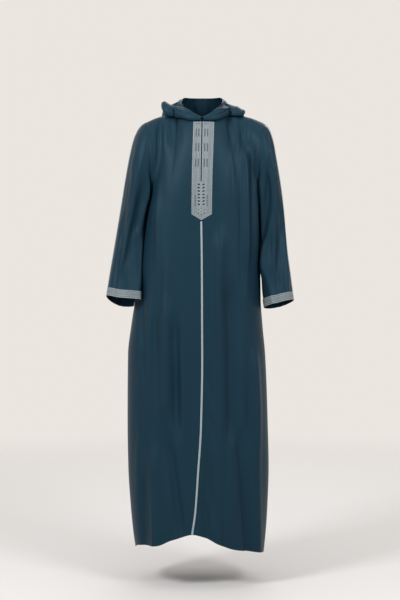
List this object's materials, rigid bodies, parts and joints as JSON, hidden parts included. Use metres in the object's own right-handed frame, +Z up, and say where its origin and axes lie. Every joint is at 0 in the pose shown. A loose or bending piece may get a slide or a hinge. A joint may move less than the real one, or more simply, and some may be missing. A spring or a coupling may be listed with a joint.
{
  "type": "hooded robe",
  "caption": "Long loose hooded robe with straight sleeves, an embroidered band round its neck slit and narrow braid down the front and the sleeves.",
  "frame": {"origin": "centre of the neck base, at the height of the shoulder line, where the robe rests on its wearer", "axes": "+Z up, -Y the robe's front, +X the wearer's left"},
  "size_m": [0.6128, 0.3406, 1.497],
  "materials": {
    "robe_cloth": "dark blue-grey crepe with a soft satin sheen",
    "embroidered_band": "matte light grey thread embroidery",
    "braid": "round matte light grey braid"
  },
  "bodies": {
    "root": {"front_right": "robe_cloth", "front_left": "robe_cloth", "back": "robe_cloth", "sleeve_right": "robe_cloth", "sleeve_left": "robe_cloth", "hood": "robe_cloth", "placket": "embroidered_band", "centre_braid": "braid", "cuff_band_right": "embroidered_band", "cuff_band_left": "embroidered_band", "sleeve_braid_right": "braid", "sleeve_braid_left": "braid"}
  },
  "joints": []
}
